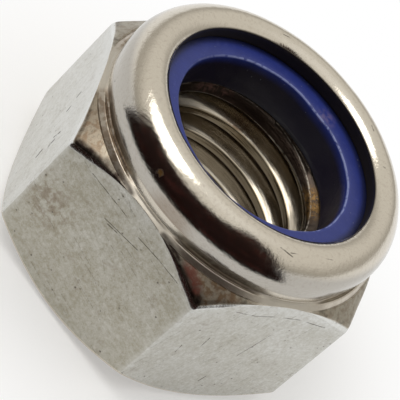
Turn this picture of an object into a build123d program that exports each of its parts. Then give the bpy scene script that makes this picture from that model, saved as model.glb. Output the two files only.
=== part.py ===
from build123d import *
import os
from math import cos, radians, sin, sqrt, tan

# Nylon insert lock nut, M12 x 1.75, standing on its bearing face.
# The origin is the centre of the bearing face, and +Z follows the thread axis
# towards the collar that is crimped over the nylon ring. Sizes are in millimetres.

# Thread
thread_diameter = 12.0
thread_pitch = 1.75
crest_fraction = 5 / 8  # of the sharp thread triangle, between major and minor radius
bearing_countersink_margin = 0.45  # outside the major radius, at the bearing face
bearing_countersink_slope = 30.0
seat_countersink_margin = 0.05  # outside the bore of the nylon ring, on its seat
seat_countersink_slope = 60.0

# Hexagon
width_across_flats = 18.0
hexagon_edge_radius = 0.35
bearing_face_diameter = 17.3
bearing_chamfer_slope = 39.5
shoulder_slope = 40.0

# Ridge that the collar tool leaves round the top of the shoulder
ridge_width = 0.46  # from the root of the collar out to the shoulder
ridge_rise = 0.29
ridge_crest_width = 0.27
ridge_crest_rise = 0.21

# Collar, crimped inwards over the nylon ring
overall_height = 12.33
collar_height = 2.87
collar_wall = 1.29
collar_bulge = 0.22  # how far the wall swells out above its root
collar_bend_radius = 1.94  # from the widest place up to where the crown starts
crown_bend_radius = 1.0
crown_start = 55.0  # turned from the upright wall
crown_end = 141.0  # where the lip stops above the nylon
lip_thickness = 1.13
pocket_corner = 0.35  # straight bevel where the wall bends over

# Nylon ring
insert_thickness = 2.5
insert_width = 2.11
insert_grip = 0.58  # how far the nylon stands inside the major radius of the thread
insert_edge = 0.15
insert_clearance = 0.02

# Places that follow from the sizes
corner_radius = width_across_flats / sqrt(3)
bearing_face_radius = bearing_face_diameter / 2
insert_bore_radius = thread_diameter / 2 - insert_grip
insert_outer_radius = insert_bore_radius + insert_width
pocket_radius = insert_outer_radius + insert_clearance
collar_radius = pocket_radius + collar_wall
collar_root_radius = collar_radius - collar_bulge
ridge_radius = collar_root_radius + ridge_width
ridge_crest_radius = collar_root_radius + ridge_crest_width

collar_root_height = overall_height - collar_height
ridge_height = collar_root_height - ridge_rise
ridge_crest_height = ridge_height + ridge_crest_rise
bend_difference = collar_bend_radius - crown_bend_radius
bulge_height = overall_height - crown_bend_radius - bend_difference * sin(radians(crown_start))
crown_centre_radius = (
    collar_radius - collar_bend_radius + bend_difference * cos(radians(crown_start))
)
lip_radius = crown_centre_radius + crown_bend_radius * cos(radians(crown_end))
pocket_top = overall_height - lip_thickness
insert_top = pocket_top - insert_clearance
seat_height = pocket_top - insert_thickness

thread_triangle_height = thread_pitch * sqrt(3) / 2
thread_minor_radius = thread_diameter / 2 - crest_fraction * thread_triangle_height
bearing_countersink_radius = thread_diameter / 2 + bearing_countersink_margin
bearing_countersink_depth = (bearing_countersink_radius - thread_minor_radius) * tan(
    radians(bearing_countersink_slope)
)
seat_countersink_radius = insert_bore_radius + seat_countersink_margin
seat_countersink_depth = (seat_countersink_radius - thread_minor_radius) * tan(
    radians(seat_countersink_slope)
)

# The chamfer cones run out past the corners of the hexagon before they meet
# the upright side of the turned outline.
turning_margin = 1.0
blank_radius = corner_radius + turning_margin
lower_cone_height = (blank_radius - bearing_face_radius) * tan(radians(bearing_chamfer_slope))
upper_cone_height = ridge_height - (blank_radius - ridge_radius) * tan(radians(shoulder_slope))

# Nut body: hexagon, shoulder, ridge and collar in one piece of steel
with BuildPart() as nut_body:
    # Hexagonal bar, cut to the overall height, with lightly rounded corners
    with BuildSketch(Plane.XY) as hexagon:
        RegularPolygon(radius=width_across_flats / 2, side_count=6, major_radius=False)
        fillet(hexagon.vertices(), radius=hexagon_edge_radius)
    extrude(amount=overall_height)

    # Both ends turned to a cone, with the ridge at the top of the shoulder
    with BuildSketch(Plane.XZ) as turned_blank:
        with BuildLine():
            Polyline(
                (collar_root_radius, collar_root_height),
                (0, collar_root_height),
                (0, 0),
                (bearing_face_radius, 0),
                (blank_radius, lower_cone_height),
                (blank_radius, upper_cone_height),
                (ridge_radius, ridge_height),
                (ridge_crest_radius, ridge_crest_height),
                close=True,
            )
        make_face()
    revolve(axis=Axis.Z, mode=Mode.INTERSECT)

    # Collar: bulged wall, round crown and the lip that curls over the nylon
    with BuildSketch(Plane.XZ) as collar:
        with BuildLine():
            TangentArc(
                (collar_radius, bulge_height),
                (collar_root_radius, collar_root_height),
                tangent=(0, -1),
            )
            outer_bend = JernArc(
                start=(collar_radius, bulge_height),
                tangent=(0, 1),
                radius=collar_bend_radius,
                arc_size=crown_start,
            )
            crown = JernArc(
                start=outer_bend @ 1,
                tangent=outer_bend % 1,
                radius=crown_bend_radius,
                arc_size=crown_end - crown_start,
            )
            Polyline(
                crown @ 1,
                (lip_radius, collar_root_height),
                (collar_root_radius, collar_root_height),
            )
        make_face()
    revolve(axis=Axis.Z)

    # Pocket for the nylon ring, bevelled where the wall bends over
    with BuildSketch(Plane.XZ) as pocket:
        with BuildLine():
            Polyline(
                (0, seat_height),
                (pocket_radius, seat_height),
                (pocket_radius, pocket_top - pocket_corner),
                (pocket_radius - pocket_corner, pocket_top),
                (0, pocket_top),
                close=True,
            )
        make_face()
    revolve(axis=Axis.Z, mode=Mode.SUBTRACT)

    # Bore at the thread's minor diameter, countersunk at both ends
    with BuildSketch(Plane.XZ) as bore:
        with BuildLine():
            Polyline(
                (0, 0),
                (bearing_countersink_radius, 0),
                (thread_minor_radius, bearing_countersink_depth),
                (thread_minor_radius, seat_height - seat_countersink_depth),
                (seat_countersink_radius, seat_height),
                (0, seat_height),
                close=True,
            )
        make_face()
    revolve(axis=Axis.Z, mode=Mode.SUBTRACT)

nut_body.part.label = "nut_body"

# Nylon ring: seated on the shoulder inside the collar, held down by the lip
with BuildPart() as nylon_ring:
    with BuildSketch(Plane.XZ) as ring_section:
        with BuildLine():
            Polyline(
                (insert_bore_radius, seat_height),
                (insert_outer_radius, seat_height),
                (insert_outer_radius, insert_top),
                (insert_bore_radius, insert_top),
                close=True,
            )
        make_face()
    revolve(axis=Axis.Z)
    # The corner under the lip follows the pocket; the other edges are lightly broken
    top_edges = nylon_ring.edges().group_by(Axis.Z)[-1].sort_by(SortBy.RADIUS)
    bottom_edges = nylon_ring.edges().group_by(Axis.Z)[0]
    chamfer(top_edges[-1], length=pocket_corner)
    chamfer([top_edges[0]] + bottom_edges, length=insert_edge)

nylon_ring.part.label = "nylon_ring"

# One STEP file for each piece
os.makedirs("parts", exist_ok=True)
export_step(nut_body.part, "parts/nut_body.step")
export_step(nylon_ring.part, "parts/nylon_ring.step")
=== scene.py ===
"""Nylon insert lock nut: threaded steel body, nylon ring, floor, light and camera."""

from math import atan2, ceil, cos, degrees, exp, hypot, pi, radians, sin, sqrt, tan

import bmesh
import bpy
from bpy.props import FloatProperty, FloatVectorProperty, PointerProperty
from bpy.types import Operator, Panel, PropertyGroup
from mathutils import Matrix, Vector, noise


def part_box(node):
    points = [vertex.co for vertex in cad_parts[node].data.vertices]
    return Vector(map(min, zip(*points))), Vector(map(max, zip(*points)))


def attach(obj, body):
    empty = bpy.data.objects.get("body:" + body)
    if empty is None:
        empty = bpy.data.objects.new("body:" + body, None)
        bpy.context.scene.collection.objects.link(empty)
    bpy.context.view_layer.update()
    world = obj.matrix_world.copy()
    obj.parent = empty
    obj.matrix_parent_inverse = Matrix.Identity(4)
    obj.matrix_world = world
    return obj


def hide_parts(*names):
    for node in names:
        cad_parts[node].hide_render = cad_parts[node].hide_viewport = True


bl_info = {
    "name": "Nylon insert lock nut",
    "version": (1, 0, 0),
    "blender": (4, 5, 0),
    "location": "3D view > Sidebar > Lock nut",
    "description": "Builds a steel lock nut with a crimped collar and a nylon ring",
    "category": "Add Mesh",
}

MM = 0.001
SIDES = 6
SECTOR = 2 * pi / SIDES
# How much dull film lies on each flat, counted from +X; the amounts also paint shade, darkest on the flat
# facing the camera.
FILM_AND_SHADE_BY_SIDE = (0.45, 0.60, 0.35, 0.12, 0.80, 0.40)
# How far apart the flats lie in the coordinates of their wear, in millimetres.
SIDE_STEP = 7.0
# Depth of a metric thread as a share of its pitch.
THREAD_DEPTH = sqrt(3) / 2 * 5 / 8

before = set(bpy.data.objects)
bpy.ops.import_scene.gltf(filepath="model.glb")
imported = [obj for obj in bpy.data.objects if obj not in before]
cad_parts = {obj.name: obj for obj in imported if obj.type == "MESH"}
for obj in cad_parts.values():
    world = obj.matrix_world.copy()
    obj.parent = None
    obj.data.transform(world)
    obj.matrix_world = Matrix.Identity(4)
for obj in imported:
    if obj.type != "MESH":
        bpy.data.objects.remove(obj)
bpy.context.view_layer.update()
BODY_LOW, BODY_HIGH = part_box("nut_body")
RING_LOW, RING_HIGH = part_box("nylon_ring")


def size(name, description, default):
    """A length that the user can change, in metres."""
    return FloatProperty(name=name, description=description, default=default, unit="LENGTH", precision=5)


def colour(name, description, default):
    """A colour that the user can change."""
    return FloatVectorProperty(
        name=name, description=description, default=default, subtype="COLOR", size=3, min=0, max=1
    )


def share(name, description, default):
    """A plain number from 0 to 1."""
    return FloatProperty(
        name=name, description=description, default=default, subtype="FACTOR", min=0, max=1
    )


def angle(name, description, degrees_):
    """An angle that the user can change."""
    return FloatProperty(name=name, description=description, default=radians(degrees_), subtype="ANGLE")


class BodySizes(PropertyGroup):
    """Sizes of the steel body."""

    flats: size("Width across flats", "Hexagon, flat to flat", BODY_HIGH.y - BODY_LOW.y)
    corner: size("Corner rounding", "Radius of the upright hexagon corners", 0.35 * MM)
    bearing_radius: size("Bearing face radius", "Where the lower chamfer starts", 8.65 * MM)
    lower_slope: angle("Lower chamfer slope", "Slope of the chamfer at the bearing face", 39.5)
    lower_rounding: size("Lower arc rounding", "Between the flats and the lower chamfer", 0.25 * MM)
    shoulder_slope: angle("Shoulder slope", "Slope of the chamfer below the collar", 40.0)
    shoulder_rounding: size("Shoulder rounding", "Between the flats and the shoulder", 0.85 * MM)
    ridge_radius: size("Ridge radius", "Foot of the ridge on the shoulder", 9.08 * MM)
    ridge_height: size("Ridge height", "Foot of the ridge above the floor", 9.17 * MM)
    crest_radius: size("Ridge crest radius", "Top of the ridge", 8.86 * MM)
    crest_height: size("Ridge crest height", "Top of the ridge above the floor", 9.40 * MM)
    groove: size("Groove depth", "Pressed line at the foot of the ridge", 0.06 * MM)
    crevice: size("Crevice depth", "Line between the ridge and the collar", 0.11 * MM)
    root_radius: size("Collar root radius", "Where the collar wall starts", 8.62 * MM)
    root_height: size("Collar root height", "Where the collar wall starts", 9.46 * MM)
    collar_radius: size("Collar radius", "Widest part of the collar", 8.84 * MM)
    bend: size("Collar bend", "Radius of the outer bend of the collar", 1.94 * MM)
    bend_height: size("Bend height", "Widest part of the collar above the floor", 10.56 * MM)
    crown: size("Crown bend", "Radius of the tighter bend over the top", 1.0 * MM)
    crown_start: angle("Crown start", "Where the outer bend gives way to the crown", 55.0)
    crown_end: angle("Crown end", "Where the crown stops above the nylon", 141.0)
    lip_underside: size("Lip underside", "Underside of the lip above the floor", 11.20 * MM)
    pocket_radius: size("Pocket radius", "Wall round the nylon ring", 7.55 * MM)
    seat_height: size("Seat height", "Seat of the nylon ring above the floor", RING_LOW.z)
    seat_mouth: size("Seat countersink", "Radius of the countersink under the nylon", 5.47 * MM)
    seat_slope: angle("Seat countersink slope", "Slope of the countersink under the nylon", 60.0)
    bearing_mouth: size("Bearing countersink", "Radius of the countersink at the bearing face", 6.45 * MM)
    bearing_slope: angle("Bearing countersink slope", "Slope of the countersink at the bearing face", 30.0)


class ThreadSizes(PropertyGroup):
    """Sizes of the thread."""

    diameter: size("Thread diameter", "Outside diameter of the thread", 12.0 * MM)
    pitch: size("Thread pitch", "Rise of one turn", 1.75 * MM)
    crest_height: size("Crest height", "Lower edge of a crest on the far wall", 6.21 * MM)
    crest_angle: angle("Crest angle", "Direction in which that height is measured", 96.3)
    crest_rounding: size("Crest rounding", "Radius of the worn crest edges", 0.06 * MM)
    root_rounding: size("Root rounding", "Radius in the bottom of the groove", 0.10 * MM)


class RingSizes(PropertyGroup):
    """Sizes of the nylon ring."""

    bore: size("Nylon bore radius", "Opening of the nylon ring", 5.42 * MM)
    edge: size("Inner edge rounding", "Rounding of the opening's upper edge", 0.22 * MM)
    bevel: size("Outer bevel", "Corner under the bend of the collar", 0.35 * MM)
    bulge: size("Bulge", "How far the chafed spot leans into the opening", 0.16 * MM)
    bulge_turn: angle("Bulge direction", "Direction of the chafed spot", 90.0)
    bulge_reach: angle("Bulge reach", "Half the width of the chafed spot", 11.0)


class Finishes(PropertyGroup):
    """Colours and gloss of the two materials."""

    steel: colour("Steel", "Clean stainless steel of the flats", (0.680, 0.680, 0.655))
    # The film colour, with its share set flat by flat, also paints shade on the flats.
    film: colour("Film", "Dull film on the flats", (0.400, 0.375, 0.300))
    burnished: colour("Burnished steel", "Warm steel of all but the flats", (0.630, 0.580, 0.495))
    # Painted shade: the collar wall's darker steel stands in for the shadowed floor near the nut that it
    # reflects.
    wall: colour("Collar wall", "Duller steel of the collar's wall", (0.430, 0.405, 0.360))
    shoulder: colour("Shoulder", "Beige film on the shoulder", (0.320, 0.290, 0.228))
    stain: colour("Stain", "Brown heat and oil stain", (0.200, 0.135, 0.085))
    # The pit colour also paints crease shade in the grooves beside the ridge.
    pit: colour("Pit", "Dirt in pits, scratches and grooves", (0.060, 0.048, 0.038))
    # The crest and root colours are film, and they also paint the shade of the dark bore that the thread
    # reflects.
    crest: colour("Thread crest", "Olive film on the thread crests", (0.150, 0.114, 0.062))
    root: colour("Thread root", "Dark film in the thread roots", (0.130, 0.094, 0.060))
    flank: colour("Thread flank", "Brown film on the thread", (0.300, 0.245, 0.170))
    # Painted shade: the countersink under the nylon, deep in the bore, is painted almost black.
    seat: colour("Nylon seat", "Dark countersink under the nylon", (0.045, 0.030, 0.024))
    # This colour paints shade: it blacks the lip's end face and the inner edge of its rim, and darkens the
    # shoulder as soot, partly painted shade.
    grime_and_shade: colour("Grime", "Black grime under the lip and on the shoulder", (0.030, 0.022, 0.018))
    lumps: colour("Burrs", "Reddish brown burrs at the edge of the seat", (0.150, 0.085, 0.070))
    gold: colour("Varnish", "Spots of old golden varnish", (0.260, 0.150, 0.052))
    rust: colour("Reddish stain", "Reddish patch on one shoulder corner", (0.170, 0.055, 0.042))
    flat_gloss: share("Flat roughness", "Roughness of the flats", 0.42)
    turned_gloss: share("Turned roughness", "Roughness of the turned chamfers", 0.26)
    collar_gloss: share("Collar roughness", "Roughness of the burnished collar", 0.14)
    thread_gloss: share("Thread roughness", "Roughness of the cut thread", 0.18)
    edge_gloss: share("Edge roughness", "Roughness of the rounded hexagon arcs", 0.18)
    nylon: colour("Nylon", "Blue nylon", (0.020, 0.034, 0.210))
    nylon_shade: colour("Nylon shade", "Darker clouds in the nylon", (0.012, 0.022, 0.150))
    # Pale haze: random on the top face, and painted highlight along the crease.
    nylon_haze_and_highlight: colour("Nylon haze", "Pale haze on worn nylon", (0.090, 0.110, 0.330))
    # Painted shade on the wall of the opening.
    nylon_wall_shade: colour("Nylon wall", "Dark wall of the opening", (0.010, 0.007, 0.016))
    # Painted shadow of the lip on the nylon.
    nylon_lip_shadow: colour("Nylon gap", "Dark nylon close to the lip", (0.003, 0.004, 0.016))
    # Painted highlight along the crease of the opening.
    nylon_highlight: colour("Nylon rub", "Pale rubbed nylon", (0.300, 0.350, 0.640))
    nylon_chafe: colour("Nylon chafe", "Greyish chafed spot by the opening", (0.150, 0.120, 0.250))
    dust: colour("Dust", "Dust on the nylon", (0.500, 0.520, 0.560))
    nylon_gloss: share("Nylon roughness", "Roughness of the nylon", 0.38)


class Studio(PropertyGroup):
    """Floor, light and camera."""

    floor: colour("Floor", "Pale floor", (0.985, 0.985, 0.985))
    low_sky: colour("Low sky", "Pale band just above the floor", (0.960, 0.960, 0.955))
    wall_sky: colour("Wall sky", "Warm grey foot of the walls", (0.520, 0.500, 0.460))
    side_sky: colour("Side sky", "Pale warm walls", (0.830, 0.810, 0.765))
    high_sky: colour("High sky", "Pale ceiling", (1.0, 0.990, 0.965))
    dark_sky: colour("Dark sky", "Dark room behind the camera", (0.016, 0.008, 0.007))
    red_sky: colour("Red sky", "Reddish blotches in the dark room", (0.140, 0.040, 0.034))
    cloth_reach: size("Dark cloth reach", "Inner edge of the dark cloth", 29.0 * MM)
    cloth_outer: size("Dark cloth outer edge", "Outer edge of the dark cloth", 400.0 * MM)
    cloth_slope: angle("Dark cloth slope", "How steeply the dark cloth rises outwards", 8.0)
    dark_from: angle("Dark side start", "Where the dark room starts, from -Y towards +X", -60.0)
    dark_to: angle("Dark side end", "Where the dark room ends", 78.0)
    camera_turn: angle("Camera direction", "Camera's place round the nut, from -Y towards +X", 9.43)
    camera_rise: angle("Camera rise", "Camera's angle above the floor", 37.78)
    camera_roll: angle("Camera roll", "How far the picture leans to the right", 47.16)
    camera_distance: size("Camera distance", "From the aim point", 125.0 * MM)
    lens: FloatProperty(
        name="Lens", description="Focal length", default=210.9, subtype="DISTANCE_CAMERA"
    )
    key_turn: angle("Key light direction", "Soft light's place, from -Y towards +X", -60.0)
    key_rise: angle("Key light rise", "Soft light's angle above the floor", 61.0)
    key_distance: size("Key light distance", "From the nut", 500.0 * MM)
    key_diameter: size("Key light diameter", "Round soft light", 350.0 * MM)
    key_power: FloatProperty(
        name="Key light power", description="Power of the soft light", default=0.75, subtype="POWER"
    )


# The point that the camera looks at.
AIM_POINT = Vector((-0.024, -0.367, 5.669)) * MM


# Section outlines

def arc(centre, radius, start, end, steps):
    """Points on an arc in the section plane, angles in radians."""
    turns = [start + (end - start) * k / steps for k in range(steps + 1)]
    return [(centre[0] + radius * cos(t), centre[1] + radius * sin(t)) for t in turns]


def eased(steps):
    """Shares from 0 to 1 that lie closer together near both ends."""
    return [(1 - cos(pi * k / steps)) / 2 for k in range(steps + 1)]


def straight(start, end, steps):
    """Points on a straight run, closer together near its ends."""
    return [(start[0] + (end[0] - start[0]) * t, start[1] + (end[1] - start[1]) * t) for t in eased(steps)]


def rounded(before, corner, after, radius, steps):
    """Points on the arc that rounds a corner, kept within half of both runs."""
    shortest_run = 1e-7
    straight_on = pi / 2 - 0.01
    run_share = 0.48
    back = Vector(before) - Vector(corner)
    ahead = Vector(after) - Vector(corner)
    if back.length < shortest_run or ahead.length < shortest_run:
        return [tuple(corner)] * (steps + 1)
    half = back.angle(ahead) / 2
    if half > straight_on:
        return [tuple(corner)] * (steps + 1)
    reach = min(radius / tan(half), run_share * back.length, run_share * ahead.length)
    back.normalize()
    ahead.normalize()
    centre = Vector(corner) + (back + ahead).normalized() * (reach / cos(half))
    first = Vector(corner) + back * reach - centre
    last = Vector(corner) + ahead * reach - centre
    start = atan2(first.y, first.x)
    sweep = atan2(first.x * last.y - first.y * last.x, first.dot(last))
    return arc(centre, first.length, start, start + sweep, steps)


def outline(corners, corner_steps, run_steps):
    """Outline through corners, each with its rounding: the first and last stay sharp."""
    places = [tuple(place) for place, _ in corners]
    points = places[:1]
    for k in range(1, len(corners) - 1):
        bend = rounded(places[k - 1], places[k], places[k + 1], corners[k][1], corner_steps)
        points += straight(points[-1], bend[0], run_steps[k - 1])[1:]
        points += bend[1:]
    return points + straight(points[-1], places[-1], run_steps[-1])[1:]


# Steel body

class BodyShape:
    """Radii and heights of the steel body, worked out from the sizes."""

    CORNER_COLUMNS = 8
    FLAT_COLUMNS = 34
    BEND_ROWS = 6
    # Each run of the outer section: its finish, its rows and the grime and painted crease shade in the
    # bend after it.
    OUTER_RUNS = (
        ("turned", 12, 0),
        ("turned", 8, 0),
        ("flat", 36, 0),
        ("turned", 10, 0.2),
        ("turned", 3, 1),
        ("turned", 4, 0),
        ("turned", 4, 1),
        ("turned", 3, 0.5),
    )
    RUNS_BEFORE_RIDGE = 5
    COLLAR_ROWS = (12, 20, 20)
    INNER_RUNS = (1, 5, 3, 2, 5, 6)
    # At mid-flat the ridge is lower and the collar's root lies further out.
    CREST_DROP = 0.04 * MM
    ROOT_SHIFT = 0.12 * MM

    def __init__(self, sizes, thread):
        self.sizes = sizes
        self.thread = thread
        self.apothem = sizes.flats / 2
        self.corner_centre = (self.apothem - sizes.corner) / cos(SECTOR / 2)
        side = (self.apothem - sizes.corner) * tan(SECTOR / 2)
        self.corner_half = SECTOR / 2 - atan2(side, self.apothem)
        self.major = thread.diameter / 2
        self.minor = self.major - thread.pitch * THREAD_DEPTH
        self.collar_middle = Vector((sizes.collar_radius - 1.2 * MM, sizes.bend_height - 0.2 * MM))
        self.angles = self.column_angles()

    def column_angles(self):
        """Directions of the columns, closer together at the hexagon corners."""
        count = self.CORNER_COLUMNS
        near = [self.corner_half * (2 * k / count - 1) for k in range(count)]
        flat = SECTOR - 2 * self.corner_half
        across = [self.corner_half + flat * t for t in eased(self.FLAT_COLUMNS)[:-1]]
        return [side * SECTOR + turn for side in range(SIDES) for turn in near + across]

    def from_corner(self, turn):
        """Angle from the nearest hexagon corner."""
        return (turn + SECTOR / 2) % SECTOR - SECTOR / 2

    def hexagon_radius(self, turn):
        """Distance from the axis to the hexagon in one direction."""
        off = self.from_corner(turn)
        if abs(off) <= self.corner_half:
            across = self.corner_centre * sin(off)
            return self.corner_centre * cos(off) + sqrt(self.sizes.corner**2 - across**2)
        return self.apothem / cos(SECTOR / 2 - abs(off))

    def outer_section(self, turn):
        """Points from the bearing countersink up over the collar and down to the nylon seat."""
        s = self.sizes
        reach = self.hexagon_radius(turn)
        low = (reach, (reach - s.bearing_radius) * tan(s.lower_slope))
        foot = (s.ridge_radius, s.ridge_height)
        if reach > s.ridge_radius:
            high = (reach, s.ridge_height - (reach - s.ridge_radius) * tan(s.shoulder_slope))
        else:
            along = (s.ridge_radius - reach) / (s.ridge_radius - s.crest_radius)
            high = (reach, s.ridge_height + along * (s.crest_height - s.ridge_height))
            foot = high
        seen = self.exposed(turn)
        crest = (s.crest_radius, s.crest_height - self.CREST_DROP * (1 - seen))
        depth = s.groove * seen
        groove = (foot[0] - 0.3 * depth, foot[1] - depth)
        brim = (foot[0] + 1.2 * depth, foot[1] - 1.2 * depth * tan(s.shoulder_slope))
        root = (s.root_radius + self.ROOT_SHIFT * (1 - seen), s.root_height)
        crevice = (root[0] + 0.05 * MM, s.root_height - s.crevice * (0.1 + 0.9 * seen))
        corners = [
            ((s.bearing_mouth, 0), 0),
            ((s.bearing_radius, 0), 0.12 * MM),
            (low, s.lower_rounding),
            (high, s.shoulder_rounding),
            (brim, 0.03 * MM),
            (groove, 0.02 * MM),
            (crest, 0.09 * MM),
            (crevice, 0.02 * MM),
            (root, 0),
        ]
        steps = [count for _, count, _ in self.OUTER_RUNS]
        return outline(corners, self.BEND_ROWS, steps) + self.collar_section(root)

    def collar_section(self, root):
        """Points from the root of the collar over the crown and lip down to the nylon seat."""
        s = self.sizes
        rise = s.bend_height - root[1]
        lean = s.collar_radius - root[0]
        wall = (rise**2 + lean**2) / (2 * lean)
        inwards = s.bend - s.crown
        bend_centre = (s.collar_radius - s.bend, s.bend_height)
        crown_centre = (
            bend_centre[0] + inwards * cos(s.crown_start),
            bend_centre[1] + inwards * sin(s.crown_start),
        )
        wall_rows, bend_rows, crown_rows = self.COLLAR_ROWS
        wall_start = -atan2(rise, wall - lean)
        points = arc((s.collar_radius - wall, s.bend_height), wall, wall_start, 0, wall_rows)[1:]
        points += arc(bend_centre, s.bend, 0, s.crown_start, bend_rows)[1:]
        points += arc(crown_centre, s.crown, s.crown_start, s.crown_end, crown_rows)[1:]
        lip = points[-1]
        bevel = 0.35 * MM
        inside = [
            (points[-2], 0),
            (lip, 0.08 * MM),
            ((lip[0] - 0.02 * MM, s.lip_underside), 0.05 * MM),
            ((s.pocket_radius - bevel, s.lip_underside), 0),
            ((s.pocket_radius, s.lip_underside - bevel), 0),
            ((s.pocket_radius, s.seat_height), 0.05 * MM),
            ((s.seat_mouth, s.seat_height), 0),
        ]
        return points[:-1] + outline(inside, 4, self.INNER_RUNS)[1:]

    def exposed(self, turn):
        """How far the shoulder shows outside the ridge, from 0 at mid-flat to 1."""
        return min(max((self.hexagon_radius(turn) - self.sizes.ridge_radius) / (0.4 * MM), 0), 1)

    def ridge_rows(self):
        """First and last row of the ridge, from its groove to the root of the collar."""
        counts = [count for _, count, _ in self.OUTER_RUNS]
        before = counts[:self.RUNS_BEFORE_RIDGE]
        first = sum(before) + (len(before) - 1) * self.BEND_ROWS
        last = sum(counts) + (len(counts) - 1) * self.BEND_ROWS
        return first, last

    def row_finish(self, row, turn):
        """Finish of a row of the outer section, with its edge and its grime and painted crease shade, from
        0 to 1.
        """
        first = 0
        seen = 0.15 + 0.85 * self.exposed(turn)
        for name, count, grime_and_shade in self.OUTER_RUNS:
            if row <= first + count:
                return name, 0, 0
            first += count
            if row < first + self.BEND_ROWS:
                bend = sin(pi * (row - first) / self.BEND_ROWS)
                if name == "flat" and row > first + self.BEND_ROWS / 2:
                    name = "turned"
                return name, bend if grime_and_shade == 0 else 0, grime_and_shade * seen
            first += self.BEND_ROWS
        if row < first + sum(self.COLLAR_ROWS):
            return "burnished", 0, 0
        return "lip", 0, 0

    def thread_section(self):
        """Heights, as shares of the pitch above a crest's lower edge, and radii over one turn."""
        pitch = self.thread.pitch
        flank = pitch * 5 / 16
        crest = pitch / 4
        root = pitch / 8
        corners = [
            ((crest / 2, self.minor), 0),
            ((crest, self.minor), self.thread.crest_rounding),
            ((crest + flank, self.major), self.thread.root_rounding),
            ((crest + flank + root, self.major), self.thread.root_rounding),
            ((pitch, self.minor), self.thread.crest_rounding),
            ((pitch + crest / 2, self.minor), 0),
        ]
        points = outline(corners, 3, (2, 4, 1, 4, 2))[:-1]
        return [(along / pitch, radius) for along, radius in points]

    def bore_rows(self):
        """Height at direction zero and thread radius of each row along the helix, lowest first."""
        t = self.thread
        turn = self.thread_section()
        start = t.crest_height - t.pitch * t.crest_angle / (2 * pi)
        lowest = -2 - ceil(start / t.pitch)
        highest = 2 + ceil((self.sizes.seat_height - start) / t.pitch)
        rows = [
            (start + (number + along) * t.pitch, radius)
            for number in range(lowest, highest)
            for along, radius in turn
        ]
        return rows, len(turn)

    def seat_cone(self, z):
        """Radius of the countersink under the nylon at one height."""
        return self.sizes.seat_mouth - (self.sizes.seat_height - z) / tan(self.sizes.seat_slope)

    def bore_point(self, height, thread_radius, turn):
        """A point of the bore: the thread, cut back by the countersinks at both ends."""
        s = self.sizes
        z = min(max(height + self.thread.pitch * turn / (2 * pi), 0), s.seat_height)
        inside = 0 < z < s.seat_height
        radius = max(
            thread_radius if inside else 0,
            self.seat_cone(z),
            s.bearing_mouth - z / tan(s.bearing_slope),
        )
        return radius, z


def side_of(turn):
    """Number of the flat that lies in one direction, counted from +X."""
    return int(turn % (2 * pi) / SECTOR)


# Unevenness of each surface: length and depth of its coarse and of its fine waves.
COLLAR_WAVES = ((2.6 * MM, 0.022 * MM), (0.9 * MM, 0.007 * MM))
BODY_WAVES = ((2.2 * MM, 0.008 * MM), (0.7 * MM, 0.003 * MM))
THREAD_WAVES = ((0.9 * MM, 0.02 * MM),)
NYLON_WAVES = ((1.3 * MM, 0.035 * MM), (0.4 * MM, 0.012 * MM))


def waviness(point, waves):
    """Smooth unevenness of a surface, in metres."""
    return sum(depth * noise.noise(point / length) for length, depth in waves)


class MeshWriter:
    """Collects rings of points, with the values that the materials read."""

    # Four finishes, then what varies over them.
    VALUES = (
        "turned",
        "burnished",
        "lip",
        "cut",
        "edge",  # 1 in the middle of a rounded edge
        "corner",  # 1 at an upright corner of the hexagon
        "grime_and_shade",  # dirt and painted crease shade in the bends beside the ridge
        "ridge",
        "exposed",  # how far the shoulder shows outside the ridge
        "film",  # how filmed a flat is, also painting shade flat by flat
        "below",  # millimetres below the upper end of the flat
        "verge",  # millimetres by which the seat's countersink lies outside the thread
        "depth",  # 0 on a thread crest and 1 in a root
        "run",  # millimetres along the section, for lines of turning
    )

    def __init__(self):
        self.mesh = bmesh.new()
        self.values = {name: self.mesh.verts.layers.float.new(name) for name in self.VALUES}
        self.place = self.mesh.verts.layers.float_vector.new("flat_place")

    def vert(self, radius, height, turn, push=0, **values):
        """A point at a radius, height and direction, pushed in or out a little."""
        out = Vector((cos(turn), sin(turn), 0))
        made = self.mesh.verts.new(out * (radius + push) + Vector((0, 0, height)))
        for name, value in values.items():
            made[self.values[name]] = value
        side = side_of(turn)
        along = radius * sin(turn - (side + 0.5) * SECTOR) / MM
        made[self.place] = (along, height / MM, SIDE_STEP * side)
        return made

    def join(self, columns, shift):
        """Faces between neighbouring columns; the last joins the first, that many rows on."""
        for k, column in enumerate(columns):
            last = k == len(columns) - 1
            following = columns[0][shift:] if last else columns[k + 1]
            for a, b, c, d in zip(column, following, following[1:], column[1:]):
                self.mesh.faces.new((a, b, c, d))

    def finish(self, name):
        """Merges what lies together and makes the object."""
        bmesh.ops.remove_doubles(self.mesh, verts=self.mesh.verts, dist=0.0008 * MM)
        bmesh.ops.dissolve_degenerate(self.mesh, edges=self.mesh.edges, dist=0.0002 * MM)
        bmesh.ops.recalc_face_normals(self.mesh, faces=self.mesh.faces)
        data = bpy.data.meshes.new(name)
        self.mesh.to_mesh(data)
        self.mesh.free()
        data.shade_smooth()
        piece = bpy.data.objects.new(name, data)
        bpy.context.scene.collection.objects.link(piece)
        return piece


# How far up from the bearing face, and from the lip's underside, the steel stays plain.
FACE_BAND = 0.02 * MM
LIP_BAND = 0.001 * MM


def dents(shape, finish, radius, height, turn):
    """How far unevenness moves a point of the outside, outwards and along the axis."""
    spot = Vector((radius * cos(turn), radius * sin(turn), height))
    if finish == "burnished":
        outwards = (Vector((radius, height)) - shape.collar_middle).normalized()
        push, rise = waviness(spot, COLLAR_WAVES) * outwards
        # Nothing rises above the nut's own height.
        return push, min(rise, 0)
    in_pocket = finish == "lip" and height < shape.sizes.lip_underside + LIP_BAND
    if height < FACE_BAND or in_pocket:
        return 0, 0
    return waviness(spot, BODY_WAVES), 0


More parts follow.
